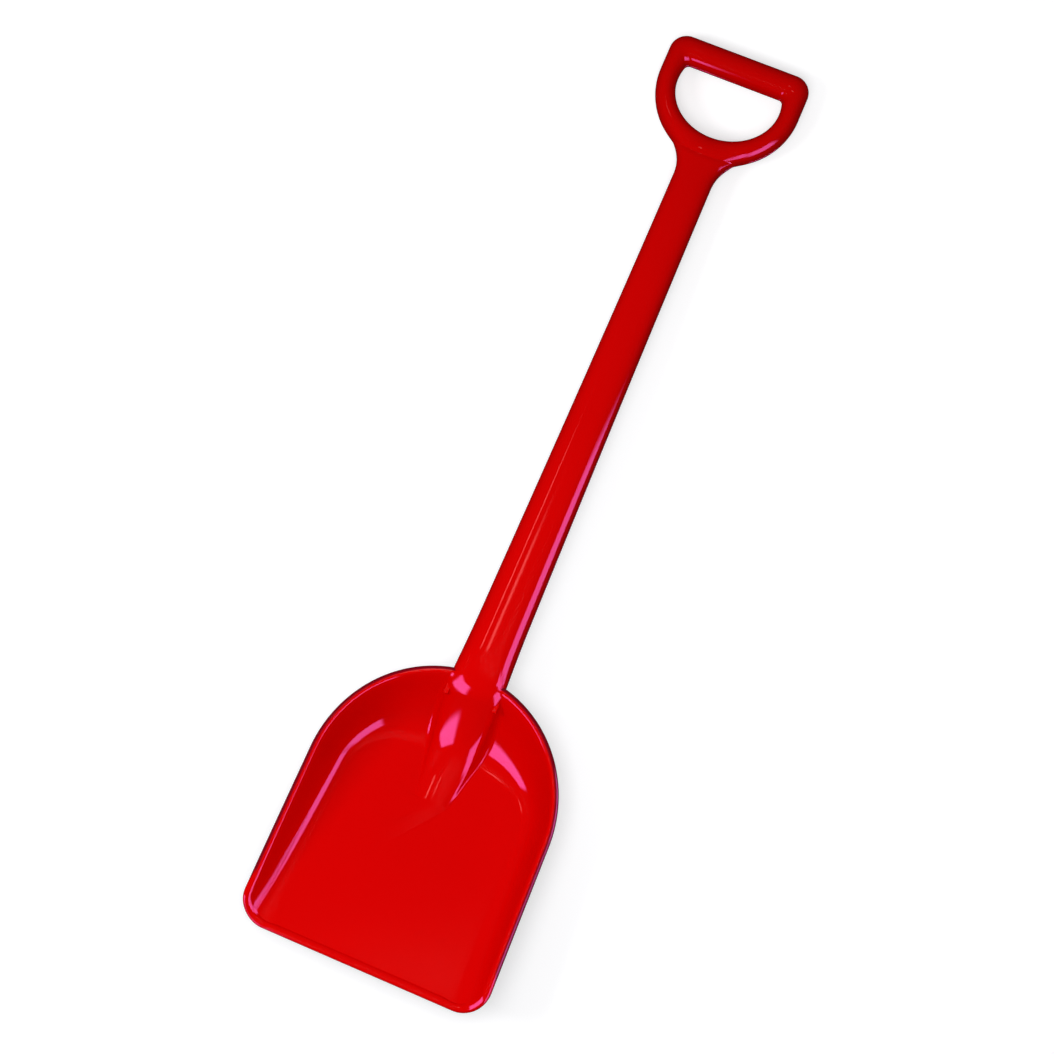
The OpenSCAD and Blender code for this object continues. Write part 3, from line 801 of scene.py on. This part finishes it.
@dataclass
class Grip:
    """Shaft, yoke and D handle: an oval tube in a front half and a back half."""

    shaft: ShaftSizes
    sizes: HandleSizes
    blend: float = 6.0
    tuck: float = 0.04
    steps: int = 44
    # The shaft sinks into the D over the end of the flare, as reach^2 / radius
    sink_reach: float = 9.0
    sink_r: float = 22.0
    # Most that the blend adds to the shaft, and how far it then hides under the D, over
    # this share of its height
    blend_most: float = 1.0
    hidden: float = 0.03
    hidden_from: float = 0.2
    # Where in front of the rim the shaft slips under the frog, and over what length
    tuck_start: float = 1.2
    tuck_reach: float = 0.8
    # How far the root's side walls reach under the scoop, and into what they join
    root_reach: float = 16.0
    root_lap: float = 0.5
    root_lid: float = 0.6
    # Place in plan where the D takes up the shaft: past the flare, and to each side
    yoke_past: float = 4.0
    yoke_half: float = 24.0

    def pairs(self) -> tuple[Array, Array]:
        """Edges of the D, from the yoke round the right side and home.

        The opening is an ellipse cut by the grip with round corners, and the outline
        is a circle, straight sides and round top corners.

        Returns:
            Points on the opening's edge and on the outline.
        """
        h = self.sizes
        hy = h.hand_rise - h.hand_corner_r
        bx, by = h.hand_w / 2.0 - h.hand_corner_r, h.hand_drop - h.hand_corner_r
        hx = bx * np.sqrt(1.0 - (hy / by) ** 2)
        start = np.arctan2(hy / by ** 2, hx / bx ** 2)
        r = h.w / 2.0
        rise = h.hand_rise + h.grip_d

        def opening(a: Array) -> Array:
            """Ellipse of the hand opening at an angle seen from its middle."""
            d = np.stack([np.cos(a), np.sin(a)], 1)
            return d / h.opening_share(d[:, 0], d[:, 1])[:, None]

        a = np.linspace(-np.pi / 2.0, 0.0, 46, endpoint=False)
        far = h.outer_reach(np.sin(a))[:, None]
        near_1, far_1 = opening(a), np.stack([np.cos(a), np.sin(a)], 1) * far
        first = np.array([hx + h.hand_corner_r * np.cos(start),
                          hy + h.hand_corner_r * np.sin(start)])
        t = np.linspace(0.0, 1.0, 10, endpoint=False)
        near_2 = opening(np.arctan2(first[1], first[0]) * t)
        far_2 = np.stack([np.full(len(t), r), mix(h.round_up, rise - h.corner_r, t)], 1)
        t = np.linspace(0.0, 1.0, 22)
        b, g = mix(start, np.pi / 2.0, t), t * np.pi / 2.0
        near_3 = np.stack([hx + h.hand_corner_r * np.cos(b), hy + h.hand_corner_r * np.sin(b)], 1)
        far_3 = np.stack([r - h.corner_r + h.corner_r * np.cos(g),
                          rise - h.corner_r + h.corner_r * np.sin(g)], 1)
        t = np.linspace(0.0, 1.0, 20)[1:]
        near_4 = np.stack([hx * (1 - t), np.full(len(t), h.hand_rise)], 1)
        far_4 = np.stack([(r - h.corner_r) * (1 - t), np.full(len(t), rise)], 1)
        near = np.concatenate([near_1, near_2, near_3, near_4])
        far = np.concatenate([far_1, far_2, far_3, far_4])
        up = np.array([0.0, h.hand_y])
        return with_mirror(near) + up, with_mirror(far) + up

    def ring_rise(self, x: Array, y: Array) -> Array:
        """Height factor of the D's lower round over a place in plan, below zero outside.

        The place's distance from the middle of the opening is set against the two
        edges along the same ray.

        Args:
            x: places across.
            y: places along.

        Returns:
            Height factors of the D's section.
        """
        h = self.sizes
        dist = np.maximum(np.hypot(x, y - h.hand_y), 1e-6)
        cosine, sine = x / dist, (y - h.hand_y) / dist
        near = 1.0 / h.opening_share(cosine, sine)
        far = h.outer_reach(sine)
        u = np.abs(dist - (near + far) / 2.0) / ((far - near) / 2.0)
        return side_fall(u, h.square)

    def sink(self, y: Array) -> Array:
        """How far the shaft has sunk into the D."""
        start = self.shaft.flare_end_y - self.sink_reach
        return np.maximum(y - start, 0.0) ** 2 / self.sink_r

    def beam_rise(self, x: Array, y: Array, side: Side) -> Array:
        """Height of the shaft's half over the seam, over a place in plan.

        Args:
            x: places across.
            y: places along.
            side: front or back half.

        Returns:
            Heights over (or depths under) the seam, below zero outside the shaft.
        """
        s = self.shaft
        high = s.crown_z - s.seam_z(y) if side is Side.FRONT else s.drop(y)
        return high * side_fall(np.abs(x) / s.half(y), s.flare_square) - self.sink(y)

    def beam(self, side: Side, y: Array) -> Shell:
        """Half tube along the shaft, closed along the seam and at both ends.

        Args:
            side: front or back half.
            y: places of the rings.

        Returns:
            The closed shell.
        """
        s = self.shaft
        a = np.linspace(0.0, np.pi, self.steps + 1)
        half = s.half(y)[:, None]
        square = s.squareness(y)
        high = s.drop(y)
        if side is Side.FRONT:
            square = np.where(y < s.blade_l, s.crown_square(y), square)
            high = s.crown_z - s.seam_z(y) - s.frog_drop(y)
            inside = (s.blade_l - self.tuck_start - y) / self.tuck_reach
            high = high - self.tuck * np.clip(inside, 0.0, 1.0)
        across, up = half_section(square[:, None], a[None])
        x = half * across
        yy = np.broadcast_to(y[:, None], x.shape)
        z = high[:, None] * up
        ring = self.sizes.grip_d / 2.0 * self.ring_rise(x, yy)
        near = yy > s.flare_y
        joined = smooth_max(z - self.sink(yy), ring, self.blend)
        z = np.where(near, np.minimum(joined, z + self.blend_most), z)
        z = np.where(near & (ring > 0.0) & (up > self.hidden_from), z - self.hidden, z)
        z = np.maximum(z, 0.0)
        return self.closed(x, yy, z, half, s.seam_z(yy), side)

    def closed(self, x: Array, y: Array, z: Array, half: Array, seam: Array,
               side: Side) -> Shell:
        """Close rings of a half section with a flat seam whose two edges are broken.

        Args:
            x: places across.
            y: places along.
            z: heights over the seam.
            half: half widths of the rings.
            seam: heights of the seam.
            side: front or back half.

        Returns:
            The closed shell.
        """
        s = self.shaft
        gap = 0.0 if side is Side.FRONT else s.seam_gap
        e = s.edge_r
        z = z + gap
        z = np.maximum(z, gap + e * (np.abs(x) > half - 1e-6))
        first_x, last_x = x[:, :1] - e, x[:, -1:] + e
        ring_x = np.concatenate([first_x, x, last_x], axis=1)
        flat = np.full_like(first_x, gap)
        ring_z = np.concatenate([flat, z, flat], axis=1)
        ring_y = np.concatenate([y[:, :1], y, y[:, -1:]], axis=1)
        height = seam[:, :1] + side.value * ring_z
        points = np.stack([ring_x, ring_y, height], axis=-1)
        rows, cols = ring_x.shape
        return Shell(points.reshape(-1, 3), grid_quads(rows, cols), end_caps(rows, cols))

    def ring(self, side: Side) -> Shell:
        """Half of the D: its section carried round between the two edges.

        Args:
            side: front or back half.

        Returns:
            The closed shell.
        """
        s, h = self.shaft, self.sizes
        near, far = self.pairs()
        middle, span = (near + far) / 2.0, (far - near) / 2.0
        a = np.linspace(0.0, np.pi, self.steps + 1)
        across, up = half_section(h.square, a)
        e = s.edge_r
        gap = 0.0 if side is Side.FRONT else s.seam_gap
        size = np.linalg.norm(span, axis=1)
        broken = 1.0 - e / size
        plan = middle[:, None] + span[:, None] * across[None, :, None]
        x, y = plan[..., 0], plan[..., 1]
        z = h.grip_d / 2.0 * np.broadcast_to(up, x.shape)
        shaft = self.beam_rise(x, y, side)
        near_yoke = ((y > s.flare_y) & (y < s.flare_end_y + self.yoke_past)
                     & (np.abs(x) < self.yoke_half))
        z = np.where(near_yoke, smooth_max(z, shaft, self.blend), z)
        z = np.maximum(z + gap, gap + e)
        flat_1 = middle[:, None] + (span * broken[:, None])[:, None]
        flat_2 = middle[:, None] - (span * broken[:, None])[:, None]
        plan = np.concatenate([flat_1, plan, flat_2], axis=1)
        edge = np.full((len(middle), 1), gap)
        z = np.concatenate([edge, z, edge], axis=1)
        points = np.concatenate([plan, (-s.seam_top + side.value * z)[..., None]], axis=-1)
        rows, cols = z.shape
        return Shell(points.reshape(-1, 3), grid_quads(rows, cols, close_rows=True))

    def root(self) -> list[Shell]:
        """Back of the closed root: two side walls round the frog's hollow, and its end.

        Returns:
            The closed shells.
        """
        s = self.shaft
        end_y = s.root_y - s.wall
        shells = []
        for hand in (1.0, -1.0):
            y = np.linspace(s.blade_l - self.root_reach, end_y + self.root_lap, 14)
            half = s.half(y)
            inner = np.arccos((1.0 - s.wall / half) ** (s.square / 2.0))
            a = inner[:, None] * np.linspace(0.0, 1.0, 13)[None]
            shells.append(self.root_ring(y, a, hand))
        y = np.linspace(end_y, s.root_y, 3)
        shells.append(self.root_ring(y, np.linspace(0.0, np.pi, self.steps + 1)[None], 1.0))
        return shells

    def root_ring(self, y: Array, angle: Array, hand: float) -> Shell:
        """Closed rings of the root's back between two section angles.

        Args:
            y: places of the rings.
            angle: section angles of each ring.
            hand: 1 for the right side, -1 for the left.

        Returns:
            The closed shell.
        """
        s = self.shaft
        across, up = half_section(s.square, angle)
        half = s.half(y)[:, None]
        x = hand * half * across
        z = s.seam_z(y)[:, None] - s.drop(y)[:, None] * up
        yy = np.broadcast_to(y[:, None], x.shape)
        lid = np.broadcast_to(s.seam_z(y)[:, None] + self.root_lid, x[:, :1].shape)
        points = np.stack([np.concatenate([x[:, :1], x, x[:, -1:]], 1),
                           np.concatenate([yy[:, :1], yy, yy[:, :1]], 1),
                           np.concatenate([lid, z, lid], 1)], axis=-1)
        rows, cols = points.shape[:2]
        return Shell(points.reshape(-1, 3), grid_quads(rows, cols), end_caps(rows, cols))


# Finishes


@dataclass(frozen=True)
class GlossyPolypropylene:
    """Red polypropylene, injection-moulded in a polished mould.

    The eye gets a deep even red, darkened by painted shade along the scoop's outer rim,
    sharp reflections of the lamps that look pink over the red, and a very slight
    waviness where the plastic shrank.
    """

    name: str
    colour: str
    roughness: float = 0.07
    ior: float = 1.49
    ripple_mm: float = 9.0
    grain_mm: float = 0.7
    # Colour of the painted shade on the scoop's outer rim
    rim_shade_colour: str = "760414"
    cloud_mm: float = 60.0
    cloud_share: float = 0.93
    polish_spread: float = 0.2
    ripple_strength: float = 0.25
    ripple_height_mm: float = 0.05

    def make(self) -> bpy.types.Material:
        """Build the material.

        Returns:
            The material.
        """
        material = bpy.data.materials.new(self.name)
        tree = empty_tree(material)
        # Faint clouds where the melt flowed, and painted shade that darkens the scoop's outer rim
        red = np.array(linear(self.colour))
        clouded = red * [self.cloud_share, self.cloud_share, self.cloud_share, 1.0]
        shade = add_node(tree, "Mix", {"Factor": noise(tree, self.cloud_mm), "A": red.tolist(),
                                       "B": clouded.tolist()}, data_type="RGBA")
        # Share of painted shade at each point, read from the mesh
        rim = add_node(tree, "Attribute", attribute_name=RIM_SHADE)
        rim_shaded_colour = add_node(tree, "Mix", {"Factor": rim.outputs["Fac"],
                                       "A": shade.outputs["Result"],
                                       "B": linear(self.rim_shade_colour)}, data_type="RGBA")
        # Polish marks too fine to see singly, which take the hardness off a reflection
        gloss = add_node(tree, "MapRange", {
            "Value": noise(tree, self.grain_mm),
            "To Min": self.roughness * (1.0 - self.polish_spread),
            "To Max": self.roughness * (1.0 + self.polish_spread)})
        # The slight waviness that shrinking leaves
        ripple = add_node(tree, "Bump", {
            "Height": noise(tree, self.ripple_mm, detail=0.0),
            "Strength": self.ripple_strength, "Distance": self.ripple_height_mm * MM})
        shader = add_node(tree, "BsdfPrincipled", {
            "IOR": self.ior, "Base Color": rim_shaded_colour.outputs["Result"],
            "Roughness": gloss.outputs["Result"], "Normal": ripple.outputs["Normal"]})
        add_node(tree, "OutputMaterial", {"Surface": shader.outputs["BSDF"]})
        return material


# The shovel


@dataclass
class Shovel:
    """The whole toy: a front moulding and two back covers."""

    rest: Rest = field(default_factory=Rest)
    shaft: ShaftSizes = field(default_factory=ShaftSizes)
    scoop: ScoopSizes = field(default_factory=ScoopSizes)
    handle: HandleSizes = field(default_factory=HandleSizes)
    # The front's rings lie close from just before the rim to just past it, and then wide
    close_before: float = 3.8
    close_past: float = 12.0
    wide_past: float = 15.0

    def build(self) -> None:
        """Build and dress the three pieces."""
        grip = Grip(self.shaft, self.handle)
        s = self.shaft
        straight = np.concatenate([
            np.linspace(s.blade_l - self.close_before, s.blade_l + self.close_past, 26),
            np.linspace(s.blade_l + self.wide_past, s.flare_y, 100)])
        yoke = np.linspace(s.flare_y, s.flare_end_y, 42)[1:]
        front = build_piece("front_moulding", [
            Scoop(self.scoop, s).shell(),
            grip.beam(Side.FRONT, np.concatenate([straight, yoke])),
            *grip.root(),
            grip.ring(Side.FRONT),
        ], self.rest)
        cover_y = np.linspace(s.root_y + s.seam_gap, s.split_y - s.seam_gap, 90)
        shaft_cover = build_piece("shaft_back", [grip.beam(Side.BACK, cover_y)], self.rest)
        yoke_y = np.linspace(s.split_y, s.flare_end_y, 34)
        handle_cover = build_piece("handle_back", [
            grip.beam(Side.BACK, yoke_y), grip.ring(Side.BACK)], self.rest)
        plastic = GlossyPolypropylene("moulded_red_polypropylene", "cc0000").make()
        for piece, node in ((front, "front_shell"), (shaft_cover, "shaft_cover"),
                            (handle_cover, "handle_cover")):
            piece.data.materials.append(plastic)
            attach(piece, ROOT)
            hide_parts(node)
            log.info("%s: %d faces", piece.name, len(piece.data.polygons))


# The studio


@dataclass(frozen=True)
class Camera:
    """Camera of the photograph, fitted to the shovel's outline."""

    pitch: float = -0.16850618
    yaw: float = -0.11216378
    roll: float = -0.40574654
    shift_mm: Triple = (16.55197248, 17.26836864, -1200.0)
    middle_mm: float = 275.0
    focal_px: float = 2200.9
    frame_px: float = 1054.0
    sensor_mm: float = 36.0
    sight_m: float = 20.0

    def make(self, rest: Rest) -> None:
        """Place the camera over the resting shovel.

        The fitted view turns the shovel's plane by roll, pitch and yaw and then shifts
        it; the camera's own place is the inverse of that.

        Args:
            rest: the shovel's resting place.
        """
        turn = (Matrix.Rotation(self.roll, 4, "Z") @ Matrix.Rotation(self.pitch, 4, "X")
                @ Matrix.Rotation(self.yaw, 4, "Y"))
        about = Matrix.Translation((0.0, -self.middle_mm, 0.0))
        view = Matrix.Translation(self.shift_mm) @ turn @ about
        world = rest.matrix() @ view.inverted()
        world.translation *= MM
        data = bpy.data.cameras.new("photo_camera")
        data.sensor_width = self.sensor_mm
        data.lens = self.focal_px / self.frame_px * self.sensor_mm
        data.clip_end = self.sight_m
        camera = linked("photo_camera", data)
        camera.matrix_world = world
        bpy.context.scene.camera = camera


@dataclass(frozen=True)
class Lamp:
    """A soft rectangular lamp, placed from its target by a direction and a distance."""

    name: str
    direction: Triple
    distance: float
    size: tuple[float, float]
    watts: float
    target: Triple = (0.0, -0.2, 0.0)

    def make(self) -> None:
        """Create the lamp, facing its target."""
        data = bpy.data.lights.new(self.name, "AREA")
        data.shape = "RECTANGLE"
        data.size, data.size_y = self.size
        data.energy = self.watts
        lamp = linked(self.name, data)
        away = Vector(self.direction).normalized()
        lamp.location = Vector(self.target) + away * self.distance
        lamp.rotation_euler = away.to_track_quat("Z", "Y").to_euler()
        lamp.visible_glossy = lamp.visible_camera = False


@dataclass(frozen=True)
class MirroredPanel:
    """A soft-edged panel of the studio, far off, that only the polished plastic mirrors.

    Its middle and its long axis are directions in the shovel's plane. A direction d
    falls on it where d.long / d.middle and d.cross / d.middle stay within its reach.
    """

    middle: Triple
    long_axis: Triple
    reach: tuple[float, float]
    colour: Triple
    strength: float
    soft: float = 0.5

    def light(self, tree: Tree, sight: Socket, turn: Matrix) -> Socket:
        """Add the nodes that give the panel's light for a line of sight.

        Args:
            tree: the surround's node tree.
            sight: socket with the direction looked in.
            turn: rotation from the shovel's plane to the studio.

        Returns:
            Socket with the panel's colour.
        """
        middle = (turn @ Vector(self.middle)).normalized()
        axis = turn @ Vector(self.long_axis)
        axis = (axis - middle * axis.dot(middle)).normalized()
        ahead = vectors(tree, "DOT_PRODUCT", sight, middle).outputs["Value"]
        share = maths(tree, "GREATER_THAN", ahead, 0.0)
        for direction, reach in zip((axis, middle.cross(axis)), self.reach):
            along = vectors(tree, "DOT_PRODUCT", sight, direction).outputs["Value"]
            place = maths(tree, "DIVIDE", along, ahead)
            share = maths(tree, "MULTIPLY", share, soft_edge(tree, place, reach, self.soft))
        glow = [c * self.strength for c in self.colour]
        return add_node(tree, "VectorMath", {0: glow, "Scale": share},
                        operation="SCALE").outputs["Vector"]


@dataclass(frozen=True)
class Softbox:
    """Near softbox beside the shovel that only the polished plastic mirrors.

    It stands upright, square to the compass heading from the shovel towards it, in
    metres, and fades towards its edges.
    """

    name: str
    middle: Triple
    heading_deg: float
    half: tuple[float, float]
    strength: float
    colour: Triple = PINK_GEL
    soft: float = 0.35

    def make(self) -> None:
        """Create the panel as part of the stage."""
        heading = np.radians(self.heading_deg)
        middle = Vector(self.middle)
        axes = (Vector((-np.sin(heading), np.cos(heading), 0.0)), Vector((0.0, 0.0, 1.0)))
        along, up = (axis * reach for axis, reach in zip(axes, self.half))
        material = bpy.data.materials.new("softbox_cloth")
        tree = empty_tree(material)
        place = add_node(tree, "TexCoord").outputs["Object"]
        off = vectors(tree, "SUBTRACT", place, middle).outputs["Vector"]
        # Mirrored once only: a panel seen again by way of the scoop's own floor gives the
        # steep walls a false second sheen.
        bounces = add_node(tree, "LightPath").outputs["Ray Depth"]
        share = maths(tree, "MULTIPLY", maths(tree, "LESS_THAN", bounces, 1.5), self.strength)
        for axis, reach in zip(axes, self.half):
            away = vectors(tree, "DOT_PRODUCT", off, axis).outputs["Value"]
            share = maths(tree, "MULTIPLY", share, soft_edge(tree, away, reach, self.soft))
        glow = add_node(tree, "Emission", {"Color": (*self.colour, 1.0), "Strength": share})
        clear = add_node(tree, "BsdfTransparent")
        both = add_node(tree, "AddShader", {0: glow.outputs[0], 1: clear.outputs[0]})
        add_node(tree, "OutputMaterial", {"Surface": both.outputs[0]})
        corners = [middle + along * i + up * j for i, j in ((-1, -1), (-1, 1), (1, 1), (1, -1))]
        panel = flat_sheet(self.name, corners, material)
        panel.visible_camera = panel.visible_diffuse = panel.visible_shadow = False
        panel.visible_transmission = False


@dataclass(frozen=True)
class Studio:
    """Pale floor, white surround, two lamps and the panels that the plastic mirrors."""

    rest: Rest
    floor_colour: str = "cfcfd1"
    floor_size: float = 6.0
    glow: float = 0.42
    far_glow: float = 0.6
    glow_reach: float = 0.3
    dim: float = 0.01
    low_light: float = 0.38
    high_light: float = 0.32

    def strips(self) -> tuple[MirroredPanel, ...]:
        """Two thin strips overhead."""
        return (
            MirroredPanel((-0.35, 0.15, 0.925), (0.0, 1.0, 0.0), (0.075, 0.022), WARM_GEL, 9.0),
            MirroredPanel((-0.14, 0.13, 0.98), (0.0, 1.0, 0.0), (0.05, 0.018), WARM_GEL, 7.0),
        )

    def floor(self) -> None:
        """Large plain floor: white with a soft shadow to the camera, dark to the plastic."""
        material = bpy.data.materials.new("white_paper_sweep")
        tree = empty_tree(material)
        paper = add_node(tree, "BsdfDiffuse", {"Color": linear(self.floor_colour)})
        place = add_node(tree, "TexCoord")
        part = add_node(tree, "SeparateXYZ", {"Vector": place.outputs["Object"]})
        level = add_node(tree, "MapRange", {
            "Value": part.outputs["Y"], "From Min": -self.glow_reach,
            "From Max": self.glow_reach, "To Min": self.glow, "To Max": self.far_glow})
        glow = add_node(tree, "Emission", {"Strength": level.outputs["Result"]})
        both = add_node(tree, "AddShader", {0: paper.outputs[0], 1: glow.outputs[0]})
        dark = add_node(tree, "Emission", {"Strength": self.dim})
        path = add_node(tree, "LightPath")
        pick = add_node(tree, "MixShader", {0: path.outputs["Is Camera Ray"],
                                            1: dark.outputs[0], 2: both.outputs[0]})
        add_node(tree, "OutputMaterial", {"Surface": pick.outputs[0]})
        r = self.floor_size / 2.0
        floor = flat_sheet("studio_floor", [(-r, -r, 0), (r, -r, 0), (r, r, 0), (-r, r, 0)],
                           material)

    def surround(self) -> None:
        """Soft light, strongest near the horizon, white to the camera, strips to mirrors."""
        world = bpy.data.worlds.new("studio_surround")
        bpy.context.scene.world = world
        tree = empty_tree(world)
        path = add_node(tree, "LightPath")
        sight = add_node(tree, "TexCoord").outputs["Generated"]
        height = add_node(tree, "SeparateXYZ", {"Vector": sight})
        dome = add_node(tree, "MapRange", {
            "Value": height.outputs["Z"], "To Min": self.low_light, "To Max": self.high_light})
        mirrored: Value = (self.dim,) * 3
        turn = self.rest.matrix().to_3x3()
        for strip in self.strips():
            light = strip.light(tree, sight, turn)
            mirrored = vectors(tree, "ADD", mirrored, light).outputs["Vector"]
        seen = dome.outputs["Result"]
        for ray, shown in (("Is Glossy Ray", mirrored), ("Is Camera Ray", (1.0, 1.0, 1.0))):
            seen = add_node(tree, "Mix", {"Factor": path.outputs[ray], "A": seen, "B": shown},
                            data_type="VECTOR").outputs["Result"]
        back = add_node(tree, "Background", {"Color": seen})
        add_node(tree, "OutputWorld", {"Surface": back.outputs[0]})

    def lamps(self) -> None:
        """Light the scoop broadly, and lay the shadow with a lamp from the left."""
        Lamp("key_softbox", (0.07, 0.04, 0.65), 0.65, (0.4, 0.4), 2.7).make()
        Lamp("shadow_softbox", (-0.6, -0.1, 0.7), 0.92, (0.3, 0.3), 3.3).make()

    def softboxes(self) -> None:
        """Stand one beside the scoop, a low one beside the shaft, and one off the corner."""
        Softbox("softbox_right", (0.42, -0.449, 0.33), 0.0, (0.33, 0.25), 8.0).make()
        Softbox("softbox_right_low", (0.42, -0.01, 0.20), 0.0, (0.20, 0.22), 8.0).make()
        Softbox("softbox_left", (-0.217, -0.475, 0.29), -121.0, (0.151, 0.173), 9.0).make()

    def build(self) -> None:
        """Build the whole studio."""
        bpy.context.scene.view_settings.view_transform = "Standard"
        self.floor()
        self.surround()
        self.lamps()
        self.softboxes()


def main() -> None:
    """Build the shovel, the studio and the camera."""
    logging.basicConfig(level=logging.INFO, format="%(name)s: %(message)s")
    shovel = Shovel()
    shovel.build()
    Studio(shovel.rest).build()
    Camera().make(shovel.rest)


if __name__ == "__main__":
    main()
